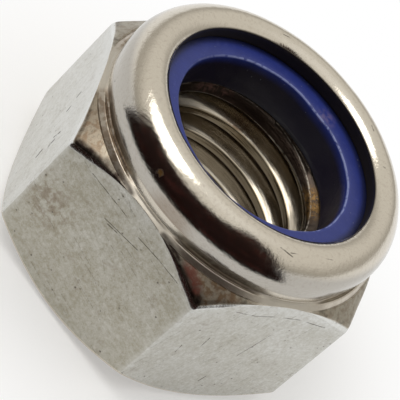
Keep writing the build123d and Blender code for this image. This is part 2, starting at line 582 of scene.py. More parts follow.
def outer_column(writer, shape, turn):
    """A column of points from the bearing countersink over the collar down to the nylon seat."""
    s = shape.sizes
    at_corner = abs(shape.from_corner(turn)) / shape.corner_half
    upright = max(0, 1 - at_corner**2 / 2)
    top = s.ridge_height - (shape.hexagon_radius(turn) - s.ridge_radius) * tan(s.shoulder_slope)
    ridge_first, ridge_last = shape.ridge_rows()
    column = []
    run = 0
    before = None
    for row, (radius, height) in enumerate(shape.outer_section(turn)):
        if before:
            run += hypot(radius - before[0], height - before[1]) / MM
        before = (radius, height)
        finish, edge, grime_and_shade = shape.row_finish(row, turn)
        values = {
            "run": run,
            "edge": edge,
            "grime_and_shade": grime_and_shade,
            "corner": upright if finish == "flat" else 0,
            "ridge": 1 if ridge_first <= row <= ridge_last else 0,
            "exposed": shape.exposed(turn),
            "film": FILM_AND_SHADE_BY_SIDE[side_of(turn)],
            "below": (top - height) / MM,
        }
        if finish != "flat":
            values[finish] = 1
        push, rise = dents(shape, finish, radius, height, turn)
        column.append(writer.vert(radius, height + rise, turn, push, **values))
    return column


# How the waves of the thread are squeezed round the axis and along it.
SQUEEZE_ROUND = 0.6
SQUEEZE_UP = 3


def bore_column(writer, shape, turn, rows, rows_per_turn):
    """A column of points up the thread, from the bearing face to the nylon seat."""
    column = []
    for number, (height, thread_radius) in enumerate(rows):
        radius, z = shape.bore_point(height, thread_radius, turn)
        reach = radius * SQUEEZE_ROUND
        spot = Vector((reach * cos(turn), reach * sin(turn), z * SQUEEZE_UP))
        push = waviness(spot, THREAD_WAVES) if 0 < z < shape.sizes.seat_height else 0
        values = {
            "cut": 1,
            "run": number / rows_per_turn * shape.thread.pitch / MM,
            "depth": (thread_radius - shape.minor) / (shape.major - shape.minor),
            "verge": max(-1, (shape.seat_cone(z) - thread_radius) / MM),
        }
        column.append(writer.vert(radius, z, turn, push, **values))
    return column


def make_body(shape):
    """The whole steel body as one closed mesh."""
    writer = MeshWriter()
    writer.join([outer_column(writer, shape, turn) for turn in shape.angles], 0)
    rows, rows_per_turn = shape.bore_rows()
    turns = [turn % (2 * pi) for turn in shape.angles]
    bore = [bore_column(writer, shape, turn, rows, rows_per_turn) for turn in turns]
    start = turns.index(min(turns))
    writer.join(bore[start:] + bore[:start], rows_per_turn)
    return writer.finish("threaded_body")


# Nylon ring

RING_COLUMNS = 216
RING_BEND_ROWS = 6
RING_RUNS = (3, 3, 14, 16, 8, 4)


def make_ring(sizes):
    """The nylon ring: rounded, slightly uneven opening and a bevel under the collar."""
    writer = MeshWriter()
    low, high = RING_LOW.z, RING_HIGH.z
    outside = RING_HIGH.x
    corners = [
        ((outside, (low + high) / 2), 0),
        ((outside, high - sizes.bevel), 0),
        ((outside - sizes.bevel, high), 0.1 * MM),
        ((sizes.bore, high), sizes.edge),
        ((sizes.bore, low), 0.15 * MM),
        ((outside, low), 0.15 * MM),
        ((outside, (low + high) / 2), 0),
    ]
    section = outline(corners, RING_BEND_ROWS, RING_RUNS)[:-1]
    top_end = sum(RING_RUNS[:3]) + 2 * RING_BEND_ROWS
    wall_start = top_end + RING_BEND_ROWS
    wall_end = wall_start + RING_RUNS[3] + RING_BEND_ROWS
    uneven_radius = 6.5 * MM
    uneven_height = low + 0.3 * MM
    bulge_end = 6.3 * MM
    bulge_fade = 0.7 * MM
    columns = []
    for k in range(RING_COLUMNS):
        turn = 2 * pi * k / RING_COLUMNS
        bulge = exp(-(((turn - sizes.bulge_turn) / sizes.bulge_reach) ** 2)) * sizes.bulge
        column = []
        for row, (radius, height) in enumerate(section):
            push = 0
            if radius < uneven_radius and height > uneven_height:
                spot = Vector((radius * cos(turn), radius * sin(turn), height))
                push = waviness(spot, NYLON_WAVES)
                push -= bulge * min(max((bulge_end - radius) / bulge_fade, 0), 1)
            crease = sin(pi * (row - top_end) / RING_BEND_ROWS) if top_end < row < wall_start else 0
            wall = 1 if wall_start <= row <= wall_end else 0
            column.append(writer.vert(radius, height, turn, push, edge=crease, cut=wall))
        columns.append(column + column[:1])
    writer.join(columns, 0)
    return writer.finish("nylon_insert")


# Shader maths

class Socket:
    """A shader socket; Python's operators on it add Math nodes."""

    def __init__(self, graph, socket):
        self.graph = graph
        self.socket = socket

    def math(self, operation, *others):
        """A Math node on this socket and the others."""
        settings = {"operation": operation}
        return self.graph.add("ShaderNodeMath", settings, dict(enumerate((self,) + others))).out()

    def __add__(self, other):
        return self.math("ADD", other)

    __radd__ = __add__

    def __mul__(self, other):
        return self.math("MULTIPLY", other)

    __rmul__ = __mul__

    def __sub__(self, other):
        return self.math("SUBTRACT", other)

    def __rsub__(self, other):
        return (self * -1) + other

    def __truediv__(self, other):
        return self.math("DIVIDE", other)

    def clamped(self):
        """Held between 0 and 1."""
        return self.math("MAXIMUM", 0.0).math("MINIMUM", 1.0)

    def smooth(self, low, high):
        """Smooth step: 0 at low and 1 at high, which may be the smaller number."""
        if high < low:
            return 1 - self.smooth(high, low)
        values = {"Value": self, "From Min": low, "From Max": high}
        return self.graph.add("ShaderNodeMapRange", {"interpolation_type": "SMOOTHSTEP"}, values).out()


class Node:
    """A node that was added, and its outputs."""

    def __init__(self, graph, node):
        self.graph = graph
        self.node = node

    def out(self, name=None):
        """An output by name, or the first that is in use."""
        for socket in self.node.outputs:
            if socket.enabled and name in (None, socket.name):
                return Socket(self.graph, socket)
        raise KeyError(name)


class Graph:
    """The nodes of one material or world."""

    def __init__(self, tree):
        self.tree = tree
        tree.nodes.clear()

    def add(self, kind, settings=None, values=None):
        """A node of a type: its settings first, then the values or links of its sockets."""
        node = self.tree.nodes.new(kind)
        for name, value in (settings or {}).items():
            setattr(node, name, value)
        for key, value in (values or {}).items():
            inputs = [socket for socket in node.inputs if socket.enabled]
            socket = inputs[key] if isinstance(key, int) else next(s for s in inputs if s.name == key)
            if isinstance(value, Socket):
                self.tree.links.new(value.socket, socket)
            else:
                socket.default_value = value
        return Node(self, node)

    def blend(self, factor, first, second):
        """Mixes two colours."""
        settings = {"data_type": "RGBA", "clamp_factor": True}
        values = {"Factor": factor, "A": as_colour(first), "B": as_colour(second)}
        return self.add("ShaderNodeMix", settings, values).out("Result")

    def layered(self, ground, layers):
        """A colour with others laid over it in turn: each with its share."""
        for cover, tone in layers:
            ground = self.blend(cover, ground, tone)
        return ground

    def vector(self, operation, *values):
        """Vector maths."""
        return self.add("ShaderNodeVectorMath", {"operation": operation}, dict(enumerate(values))).out()

    def stretched(self, place, across, up, through):
        """A place with each direction multiplied by its own number."""
        return self.vector("MULTIPLY", place, (across, up, through))

    def turned(self, place, degrees_):
        """A place turned about its third direction."""
        values = {"Vector": place, "Angle": degrees_ * radians(1)}
        return self.add("ShaderNodeVectorRotate", {"rotation_type": "Z_AXIS"}, values).out()

    def noise(self, place, scale, detail=2.0, roughness=0.5, distortion=0.0):
        """Cloudy noise around 0.5."""
        values = {
            "Vector": place,
            "Scale": scale,
            "Detail": detail,
            "Roughness": roughness,
            "Distortion": distortion,
        }
        return self.add("ShaderNodeTexNoise", {}, values).out()

    def cells(self, place, scale):
        """Distance to the nearest of many scattered points."""
        values = {"Vector": place, "Scale": scale}
        return self.add("ShaderNodeTexVoronoi", {}, values).out("Distance")

    def near(self, place, spot):
        """1 in the middle of a spot and 0 outside it: its centre, outer and inner radius."""
        centre, outer, inner = spot
        return self.vector("DISTANCE", place, centre).smooth(outer, inner)

    def attribute(self, name, output="Fac"):
        """A value that the mesh carries."""
        return self.add("ShaderNodeAttribute", {"attribute_name": name}).out(output)

    def place(self):
        """The object's own coordinates, in millimetres."""
        here = self.add("ShaderNodeTexCoord").out("Object")
        return self.vector("MULTIPLY", here, (1 / MM, 1 / MM, 1 / MM))

    def chance(self, *seeds):
        """Four chance numbers from 0 to 1 that depend on three seeds."""
        settings = {"noise_dimensions": "3D"}
        node = self.add("ShaderNodeTexWhiteNoise", settings, {"Vector": self.join(*seeds)})
        return (*self.parts(node.out("Color")), node.out("Value"))

    def parts(self, vector):
        """The three numbers of a vector."""
        node = self.add("ShaderNodeSeparateXYZ", {}, {"Vector": vector})
        return node.out("X"), node.out("Y"), node.out("Z")

    def join(self, x, y, z):
        """A vector from three numbers."""
        return self.add("ShaderNodeCombineXYZ", {}, {"X": x, "Y": y, "Z": z}).out()

    def bump(self, height):
        """Normal from a height in millimetres."""
        values = {"Height": height, "Strength": 1.0, "Distance": MM}
        return self.add("ShaderNodeBump", {}, values).out("Normal")


def as_colour(value):
    """A colour with its fourth number, or a link as it is."""
    return value if isinstance(value, Socket) else (*value[:3], 1.0)


def new_material(name):
    """An empty node material."""
    material = bpy.data.materials.new(name)
    material.use_nodes = True
    return material, Graph(material.node_tree)


def finish_material(graph, shader):
    """Joins the shader to the material's output."""
    graph.add("ShaderNodeOutputMaterial", {}, {"Surface": shader.out("BSDF")})


# Steel

def scratches(graph, place, degrees_, length, spacing, share_kept, width):
    """Thin straight scratches, each of its own place, length and tilt: 1 inside a scratch."""
    along, across, side = graph.parts(graph.turned(place, degrees_))
    lane = (across / spacing).math("FLOOR")
    shift = graph.chance(lane, side, 0.5)[0]
    steps = along / length + shift * 7
    cell = steps.math("FLOOR")
    start, tilt, middle, kept = graph.chance(lane, side, cell)
    from_middle = steps - cell - 0.5
    line = across / spacing - lane - 0.5 - (middle - 0.5) * 0.6 - (tilt - 0.5) * from_middle * 0.5
    reach = from_middle.math("ABSOLUTE") - start * 0.4
    inside = reach.smooth(0.06, 0.0) * kept.smooth(1 - share_kept, 1.15 - share_kept)
    return (1 - line.math("ABSOLUTE") * spacing / width).clamped() * inside


# Wear and dirt that the nut carries, as straight marks: start, end and half width, in millimetres. The
# soot marks are partly painted shade along the foot of the ridge.
FLAT_MARKS = (
    ((-3.3, -9.0, 8.02), (-0.4, -9.0, 8.12), 0.022),
    ((0.7, -9.0, 7.90), (2.2, -9.0, 8.08), 0.024),
    ((2.2, -9.0, 8.08), (3.7, -9.0, 8.15), 0.022),
    ((-1.2, -9.0, 6.90), (1.2, -9.0, 7.38), 0.024),
    ((-0.9, -9.0, 6.82), (0.0, -9.0, 7.02), 0.030),
    ((-6.38, -6.94, 5.05), (-6.44, -6.84, 5.48), 0.150),
    ((-6.53, -6.68, 3.67), (-6.59, -6.58, 4.20), 0.110),
    ((-6.64, -6.50, 5.31), (-6.56, -6.63, 5.95), 0.090),
    ((-7.48, -5.05, 5.86), (-7.54, -4.95, 6.20), 0.090),
    ((-7.73, -4.62, 6.61), (-7.78, -4.52, 6.95), 0.090),
    ((6.47, -6.80, 8.25), (7.13, -5.65, 8.15), 0.032),
    ((7.13, -5.65, 8.15), (7.73, -4.62, 8.32), 0.026),
    ((8.00, -4.14, 8.36), (8.55, -3.20, 8.39), 0.032),
    ((8.75, -2.85, 8.30), (9.56, -1.45, 8.02), 0.032),
    ((7.95, -4.24, 4.4), (8.30, -3.60, 7.4), 0.026),
    ((6.60, -6.58, 4.79), (6.58, -6.60, 5.70), 0.034),
    ((6.05, -7.52, 4.05), (6.02, -7.57, 4.75), 0.032),
    ((7.69, -4.68, 1.67), (7.75, -4.58, 2.23), 0.040),
)
RUST_MARKS = (((3.3, -8.50, 9.10), (4.5, -8.62, 8.65), 0.45),)
SOOT_AND_SHADE_MARKS = (
    ((-4.9, -8.80, 8.35), (-3.2, -8.88, 8.85), 0.36),
    ((-3.2, -8.85, 8.88), (-1.4, -8.93, 9.18), 0.56),
    ((1.5, -8.90, 9.15), (3.2, -8.88, 8.85), 0.34),
    ((3.2, -8.88, 8.85), (4.9, -8.78, 8.35), 0.62),
)
COLLAR_MARKS = (
    ((-6.56, -5.90, 10.24), (-6.54, -5.92, 10.30), 0.070),
    ((-4.55, 5.70, 12.33), (-4.30, 5.95, 12.33), 0.050),
    ((-4.30, 5.95, 12.33), (-3.85, 6.05, 12.33), 0.030),
    ((4.42, 5.60, 12.30), (4.50, 5.62, 12.30), 0.080),
    ((2.15, 7.05, 12.31), (2.45, 6.90, 12.31), 0.050),
    ((5.88, -5.38, 12.18), (7.28, -3.01, 12.23), 0.035),
    ((5.40, -5.80, 12.20), (6.10, -5.35, 12.10), 0.045),
)
# Spots on the nut: centre, outer and inner radius, in millimetres. The oil spot and the thread spot are
# partly painted shade.
OIL_AND_SHADE_SPOT = ((5.1, -7.9, 8.9), 1.8, 0.8)
SHOULDER_SPOT = ((-5.6, -7.4, 8.9), 3.4, 1.2)
FOOT_SPOT = ((0.9, -8.7, 9.8), 1.9, 0.7)
FLAT_SPOT = ((-3.8, -9.0, 4.6), 2.2, 0.4)
THREAD_STAIN_AND_SHADE_SPOT = ((-1.8, 4.1, 7.5), 1.9, 0.9)
BURR_SPOT = ((-4.5, 2.9, 8.2), 1.8, 0.6)
GOLD_SPOT = ((3.6, 3.9, 8.2), 1.5, 0.5)
CHAFED_SPOT = ((0.4, 5.75, 11.2), 0.75, 0.3)
VARNISH_DROP = (-1.0, -8.65, 11.2)


def marked(graph, place, marks):
    """1 on a list of straight marks, fading at their sides."""
    found = None
    for start, end, width in marks:
        ahead = Vector(end) - Vector(start)
        offset = graph.vector("SUBTRACT", place, start)
        along = graph.vector("DOT_PRODUCT", offset, tuple(ahead / ahead.length_squared)).clamped()
        settings = {"operation": "SCALE"}
        values = {"Vector": tuple(ahead), "Scale": along}
        nearest = graph.add("ShaderNodeVectorMath", settings, values).out()
        line = graph.vector("DISTANCE", offset, nearest).smooth(width, width * 0.3)
        found = line if found is None else found.math("MAXIMUM", line)
    return found


class SteelSurface:
    """Zones, noises and dirt that the steel's colour, roughness and bump share."""

    def __init__(self, graph):
        self.graph = graph
        self.place = graph.place()
        self.flat_place = graph.attribute("flat_place", "Vector")
        for name in MeshWriter.VALUES:
            setattr(self, name, graph.attribute(name))
        self.x, self.y, self.z = graph.parts(self.place)
        self.set_zones()
        self.set_noises()
        self.set_spots()
        self.dirt_and_shade = self.find_dirt()
        self.dull_and_shade = self.find_film()

    def set_zones(self):
        """Shares of the surface's zones, from the values that the mesh carries."""
        z = self.z
        radius = (self.x * self.x + self.y * self.y).math("SQRT")
        upper_thread = z.smooth(7.0, 7.2)
        self.flat = (1 - self.turned - self.burnished - self.cut - self.lip).clamped()
        self.rounded_edge = self.edge.smooth(0.15, 0.75)
        self.shoulder = self.turned * z.smooth(5.0, 6.0) * (1 - self.ridge) * self.exposed.smooth(0.0, 0.6)
        cone = self.verge.smooth(-0.01, 0.01).math("MAXIMUM", z.smooth(7.85, 8.05))
        self.seat = self.cut * upper_thread * cone
        # Painted highlight: a thin bright line where the seat's countersink meets the thread.
        self.hairline_highlight = self.cut * (1 - self.verge.math("ABSOLUTE") * 28).clamped() * upper_thread
        self.collar_wall = self.burnished * z.smooth(11.80, 11.25)
        # Painted shade: the inner edge of the crown at the lip opening is painted black.
        self.lip_rim_shade = self.burnished * radius.smooth(6.74, 6.66)

    def set_noises(self):
        """Noises from coarse to fine, and the lines of turning and thread cutting."""
        graph, place = self.graph, self.place
        x, y = self.x, self.y
        self.cloud = graph.noise(place, 0.50, 3.0, 0.55)
        self.blotch = graph.noise(place, 1.1, 4.0, 0.65, 0.6)
        self.mottle = graph.noise(place, 2.4, 5.0, 0.62, 0.3)
        self.speckle = graph.noise(place, 5.5, 3.0, 0.70)
        self.grain = graph.noise(place, 12.0, 3.0, 0.65)
        self.rings = graph.noise(graph.join(x * 0.25, y * 0.25, self.run * 8), 1.0, 2.0, 0.6)
        self.fine_rings = graph.noise(graph.join(x * 0.5, y * 0.5, self.run * 20), 1.0, 2.0, 0.6)
        self.broken = self.mottle.smooth(0.38, 0.52)
        self.lie = graph.parts(self.flat_place)[2] / SIDE_STEP * -79 - 36

    def set_spots(self):
        """Soot, partly painted shade, and reddish stain on the shoulder, and the varnish on the collar."""
        graph, place = self.graph, self.place
        below_ridge = self.turned * self.z.smooth(9.38, 9.24)
        # Soot, partly painted shade: just above the flats on the shoulder, and along the foot of the ridge
        # at the corners.
        soot_and_shade = self.shoulder * self.below.smooth(-0.45, -0.05) * self.blotch.smooth(0.46, 0.62) * 0.6
        self.soot_and_shade = soot_and_shade + below_ridge * marked(graph, place, SOOT_AND_SHADE_MARKS) * (0.60 + self.mottle * 0.6)
        patchy = 0.35 + self.broken * 0.4 + self.speckle * 0.3
        self.rust = self.shoulder * marked(graph, place, RUST_MARKS) * patchy
        drop = graph.vector("DISTANCE", place, VARNISH_DROP) - (self.speckle - 0.5) * 0.5
        self.varnish = drop.smooth(0.24, 0.08) * self.burnished

    def find_film(self):
        """Share of dull film on the flats, with an amount set flat by flat that also paints shade."""
        graph = self.graph
        brushed_place = graph.stretched(graph.turned(self.flat_place, self.lie), 0.8, 7.0, 1.0)
        brushing = graph.noise(brushed_place, 1.0, 4.0, 0.65)
        dull_and_shade = self.film + (self.cloud - 0.5) * 0.55 + (self.mottle - 0.5) * 0.5
        dull_and_shade = dull_and_shade + (self.speckle - 0.5) * 0.9 + (self.grain - 0.5) * 0.7
        dull_and_shade = dull_and_shade + (brushing - 0.5) * 0.4 - self.below.smooth(1.3, 0.3) * 0.16
        return dull_and_shade.clamped() * (1 - self.rounded_edge * 0.5) * (1 - self.corner * 0.3)

    def find_dirt(self):
        """Share of dirt in pits, scratches, marks and cracks, and of painted crease shade in the grooves
        beside the ridge.
        """
        graph, place = self.graph, self.place
        specks = graph.cells(place, 2.3).smooth(0.17, 0.08) * self.blotch.smooth(0.50, 0.60)
        hairs = scratches(graph, self.flat_place, self.lie, 2.4, 0.45, 0.34, 0.026)
        crossing = scratches(graph, self.flat_place, self.lie + 23, 1.3, 0.60, 0.14, 0.022)
        lines = (hairs + crossing).clamped() * self.flat * self.speckle.smooth(0.35, 0.6) * 0.55
        marks = marked(graph, place, FLAT_MARKS) * self.flat * (0.25 + self.broken * 0.75) * 0.9
        nicks = marked(graph, place, COLLAR_MARKS) * self.burnished * (0.25 + self.broken * 0.5)
        veins = graph.noise(graph.stretched(place, 1.0, 1.0, 1.6), 1.9, 3.0, 0.5, 1.4)
        crack = (1 - (veins - 0.5).math("ABSOLUTE") * 34).clamped() * self.shoulder * 0.3
        # Painted crease shade, with some grime, in the bends beside the ridge, stronger at the corners.
        grime_and_shade = self.grime_and_shade * (0.60 + self.mottle * 0.7) * (0.35 + self.exposed * 0.65)
        return (specks * self.flat * 0.65 + lines + marks + nicks + crack + grime_and_shade).clamped()

    def find_stain(self):
        """Share of brown stain on the flats, shoulder, ridge, collar and thread; at one shoulder corner
        and on the thread it is partly painted shade.
        """
        graph, place, mottle = self.graph, self.place, self.mottle
        smudge = graph.near(place, FLAT_SPOT) * mottle.smooth(0.40, 0.62)
        smudge = (smudge * 0.5 + self.blotch.smooth(0.55, 0.75) * 0.22) * self.flat
        # Oil stain, partly painted shade, darkening the shoulder corner at +X, -Y.
        oily_and_shade = graph.near(place, OIL_AND_SHADE_SPOT) * (0.28 + mottle.smooth(0.35, 0.60) * 0.4)
        brown = mottle.smooth(0.42, 0.62) * 0.45 + oily_and_shade + graph.near(place, SHOULDER_SPOT) * 0.38
        worn = self.ridge * self.exposed.smooth(0.0, 0.5) * (0.24 + mottle.smooth(0.40, 0.60) * 0.35)
        worn = worn * (0.45 + self.x.smooth(0.5, -2.5) * 0.90)
        foot = self.z.smooth(10.15, 9.75) * (0.25 + mottle * 0.35) + graph.near(place, FOOT_SPOT) * 0.45
        foot = foot + self.speckle.smooth(0.48, 0.72) * 0.14
        # Brown stain and painted shade on the far wall of the thread, away from its highlights.
        browned_and_shade = graph.near(place, THREAD_STAIN_AND_SHADE_SPOT) * mottle.smooth(0.34, 0.60) * 0.9
        stain = smudge + self.shoulder * brown + worn + self.burnished * foot + self.cut * browned_and_shade
        return stain.clamped()

    def colour(self, finish):
        """Colour of the steel: its zones first, then what lies on them."""
        graph, place, mottle = self.graph, self.place, self.mottle
        # Darker steel, painted shade of the reflected floor, on the collar wall and on the ridge at
        # mid-flat.
        wall = (self.collar_wall + self.ridge * (1 - self.exposed) * 0.45).clamped()
        burrs = graph.near(place, BURR_SPOT) * self.seat * mottle.smooth(0.48, 0.60)
        gold = graph.near(place, GOLD_SPOT) * self.seat * self.speckle.smooth(0.35, 0.60) * 0.85
        layers = (
            # Film, which also paints shade flat by flat.
            (self.dull_and_shade, finish.film),
            (1 - self.flat, finish.burnished),
            (wall, finish.wall),
            (self.cut * (0.05 + mottle * 0.40), finish.flank),
            (self.shoulder * 0.85, finish.shoulder),
            (self.find_stain(), finish.stain),
            # Olive film and painted shade on the crests, dark film and painted shade in the roots.
            (self.cut * self.depth.smooth(0.14, 0.02) * 0.85, finish.crest),
            (self.cut * self.depth.smooth(0.80, 0.97) * 0.85, finish.root),
            (self.cut * self.rings.smooth(0.52, 0.66) * 0.45, finish.root),
            # Painted shade on the countersink under the nylon.
            (self.seat * 0.92, finish.seat),
            (burrs, finish.lumps),
            # Painted highlight along the edge of the countersink.
            (self.hairline_highlight * mottle.smooth(0.35, 0.50) * 0.8, finish.burnished),
            (gold + self.varnish, finish.gold),
            # Dirt, and painted crease shade beside the ridge.
            (self.dirt_and_shade, finish.pit),
            # Painted shade: the lip's end face, the pocket under it and the inner edge of the rim are
            # painted black; the soot is partly painted shade.
            ((self.lip * 0.94 + self.lip_rim_shade * 0.9 + self.soot_and_shade * 0.85).clamped(), finish.grime_and_shade),
            (self.rust * 0.8, finish.rust),
        )
        return graph.layered(finish.steel, layers)

    def roughness(self, finish):
        """Roughness of the steel."""
        return (
            self.flat * (1 - self.rounded_edge) * finish.flat_gloss
            + self.flat * self.rounded_edge * finish.edge_gloss
            + self.turned * finish.turned_gloss
            + self.shoulder * 0.08
            + self.burnished * finish.collar_gloss
            + self.cut * finish.thread_gloss
            + self.lip * 0.55
            + self.seat * 0.22
            + self.hairline_highlight * 0.15
            + self.lip_rim_shade * 0.3
            + self.varnish * 0.4
            + self.ridge * (0.22 - self.exposed * 0.14)
            + self.burnished * self.z.smooth(10.15, 9.70) * 0.22
            + (self.mottle - 0.5) * 0.12
            + (self.speckle - 0.5) * 0.14
            + self.dull_and_shade * self.flat * 0.06
            + self.dirt_and_shade * 0.15
        ).clamped()

    def height(self):
        """Fine unevenness of the steel, in millimetres."""
        flat, burnished, shoulder = self.flat, self.burnished, self.shoulder
        turned, cut = self.turned, self.cut
        height = (
            (self.grain - 0.5) * (0.0034 * flat + 0.0012 * burnished + 0.0030 * shoulder)
            + (self.speckle - 0.5) * (0.0050 * flat + 0.0036 * burnished + 0.0050 * shoulder)
            + (self.mottle - 0.5)
            * (0.0060 * flat + 0.0120 * burnished + 0.0080 * shoulder + 0.045 * self.seat)
            + (self.rings - 0.5) * (0.0030 * turned + 0.0180 * cut + 0.0040 * burnished)
            + (self.fine_rings - 0.5) * (0.0014 * turned + 0.0040 * cut + 0.0010 * burnished)
            - self.dirt_and_shade * (flat + burnished) * 0.010
        )
        return height * (1 - self.lip_rim_shade)


def steel_material(finish):
    """Stainless steel: filmed flats, turned chamfers, burnished collar and cut thread; some light and
    shade are painted into its colour.
    """
    material, graph = new_material("stainless_steel")
    surface = SteelSurface(graph)
    values = {
        "Base Color": surface.colour(finish),
        "Metallic": 1.0,
        "Roughness": surface.roughness(finish),
        "Normal": graph.bump(surface.height()),
    }
    finish_material(graph, graph.add("ShaderNodeBsdfPrincipled", {}, values))
    return material


# Nylon

def nylon_material(finish):
    """Blue nylon: painted shade on the wall of the opening, painted shadow under the lip, a pale broken
    painted highlight along the crease of the opening, and a little dust.
    """
    material, graph = new_material("blue_nylon")
    place = graph.place()
    crease = graph.attribute("edge")
    wall = graph.attribute("cut")
    x, y, z = graph.parts(place)
    radius = (x * x + y * y).math("SQRT")
    cloud = graph.noise(place, 0.8, 3.0)
    mottle = graph.noise(place, 2.6, 4.0, 0.6, 0.5)
    grain = graph.noise(place, 9.0, 4.0, 0.6)
    dust = graph.cells(place, 3.1).smooth(0.09, 0.04) * cloud.smooth(0.46, 0.60)
    # Painted shadow of the lip on the nylon's outer part.
    lip_shadow = radius.smooth(6.15, 6.62)
    # Painted highlight along the crease of the opening, broken up and stronger on the far side.
    far = (x * 0.5 + y).smooth(-2.5, 2.0)
    crease_highlight = crease.smooth(0.72, 0.98) * mottle.smooth(0.34, 0.52) * (0.25 + far * 0.75)
    patch = graph.near(place, CHAFED_SPOT) * (1 - wall)
    # Random pale haze, and painted highlight along the crease.
    haze = (crease * 0.5 + mottle.smooth(0.55, 0.75) * (1 - wall)).clamped()
    layers = (
        (cloud.smooth(0.3, 0.75) * 0.4, finish.nylon_shade),
        (haze * 0.22, finish.nylon_haze_and_highlight),
        # Painted shade on the wall of the opening, darkest lower down.
        (wall * z.smooth(11.02, 10.45) * 0.95, finish.nylon_wall_shade),
        (lip_shadow * 0.85, finish.nylon_lip_shadow),
        (patch * mottle.smooth(0.35, 0.60) * 0.6, finish.nylon_chafe),
        (crease_highlight * 0.75, finish.nylon_highlight),
        (dust * 0.55, finish.dust),
    )
    roughness = (grain - 0.5) * 0.2 + (mottle - 0.5) * 0.15 - crease_highlight * 0.08 + dust * 0.3 + finish.nylon_gloss
    height = (grain - 0.5) * 0.005 + (mottle - 0.5) * 0.016 + dust * 0.012 + crease_highlight * 0.006
    values = {
        "Base Color": graph.layered(finish.nylon, layers),
        "Roughness": roughness.clamped(),
        "IOR": 1.53,
        "Specular IOR Level": 0.35,
        "Normal": graph.bump(height),
    }
    finish_material(graph, graph.add("ShaderNodeBsdfPrincipled", {}, values))
    return material


# Stage

# Millimetres from the axis between which the floor turns from card to plain white.
CARD_END = (9, 24)
FLOOR_RADIUS = 3.0
FLOOR_GAP = 0.01 * MM
CLOTH_GAP = 0.05 * MM
CLOTH_COLUMNS = 40
# Bands of the sky, in degrees above the horizon.
LOW_BAND = (4.5, 9)
WALL_BAND = (12, 38)
CEILING_BAND = (50, 80)
DARK_FOOT = (4.5, 6.5)
DARK_TOP = (48, 43)
# The dark room's upper edge: the direction of its middle, its tilt and its curve.
TOP_MIDDLE = 10
TOP_TILT = 0.15
TOP_CURVE = 0.0022


def floor_material(studio):
    """Pale matt card with a very fine grain, white away from the nut and its shadow."""
    material, graph = new_material("pale_floor")
    place = graph.place()
    grain = graph.noise(place, 4.0, 2.0)
    tone = graph.blend(grain * 0.04, studio.floor, [0.97 * part for part in studio.floor])
    values = {
        "Base Color": tone,
        "Roughness": 0.9,
        "Specular IOR Level": 0.1,
        "Normal": graph.bump(grain * 0.002),
    }
    card = graph.add("ShaderNodeBsdfPrincipled", {}, values).out("BSDF")
    white = graph.add("ShaderNodeEmission", {}, {"Color": (1.0, 1.0, 1.0, 1.0), "Strength": 1.0}).out()
    path = graph.add("ShaderNodeLightPath")
    seen = path.out("Is Camera Ray") + path.out("Is Glossy Ray") + path.out("Is Transmission Ray")
    x, y, _ = graph.parts(place)
    away = (x * x + y * y).math("SQRT").smooth(*CARD_END)
    values = {0: seen.clamped() * (0.35 + away * 0.65), 1: card, 2: white}
    mixed = graph.add("ShaderNodeMixShader", {}, values)
    graph.add("ShaderNodeOutputMaterial", {}, {"Surface": mixed.out()})
    return material


def cloth_material(studio):
    """Dark cloth with dull red blotches."""
    material, graph = new_material("dark_cloth")
    blotches = graph.noise(graph.place(), 0.070, 2.0, 0.6).smooth(0.60, 0.67)
    tone = graph.blend(blotches, studio.dark_sky, studio.red_sky)
    shade = graph.add("ShaderNodeEmission", {}, {"Color": tone, "Strength": 1.0})
    graph.add("ShaderNodeOutputMaterial", {}, {"Surface": shade.out()})
    return material


def around(turn, rise):
    """Direction from the nut: turn from -Y towards +X, then up."""
    return Vector((sin(turn) * cos(rise), -cos(turn) * cos(rise), sin(rise)))


def make_floor(studio):
    """A large flat card under the nut."""
    mesh = bmesh.new()
    bmesh.ops.create_circle(mesh, cap_ends=True, segments=96, radius=FLOOR_RADIUS)
    data = bpy.data.meshes.new("floor")
    mesh.to_mesh(data)
    mesh.free()
    floor = bpy.data.objects.new("floor", data)
    floor.location.z = -FLOOR_GAP
    data.materials.append(floor_material(studio))
    bpy.context.scene.collection.objects.link(floor)


def make_dark_cloth(studio):
    """A dark cloth in front of the nut that only shows in the shiny metal."""
    mesh = bmesh.new()
    rows = []
    rise = (studio.cloth_outer - studio.cloth_reach) * tan(studio.cloth_slope)
    for reach, height in ((studio.cloth_reach, CLOTH_GAP), (studio.cloth_outer, rise)):
        row = []
        for k in range(CLOTH_COLUMNS + 1):
            turn = studio.dark_from + (studio.dark_to - studio.dark_from) * k / CLOTH_COLUMNS
            spot = around(turn, 0) * reach
            row.append(mesh.verts.new((spot.x, spot.y, height)))
        rows.append(row)
    for a, b, c, d in zip(rows[0], rows[0][1:], rows[1][1:], rows[1]):
        mesh.faces.new((a, b, c, d))
    data = bpy.data.meshes.new("dark_cloth")
    mesh.to_mesh(data)
    mesh.free()
    cloth = bpy.data.objects.new("dark_cloth", data)
    data.materials.append(cloth_material(studio))
    cloth.visible_camera = False
    cloth.visible_diffuse = False
    cloth.visible_transmission = False
    cloth.visible_shadow = False
    bpy.context.scene.collection.objects.link(cloth)


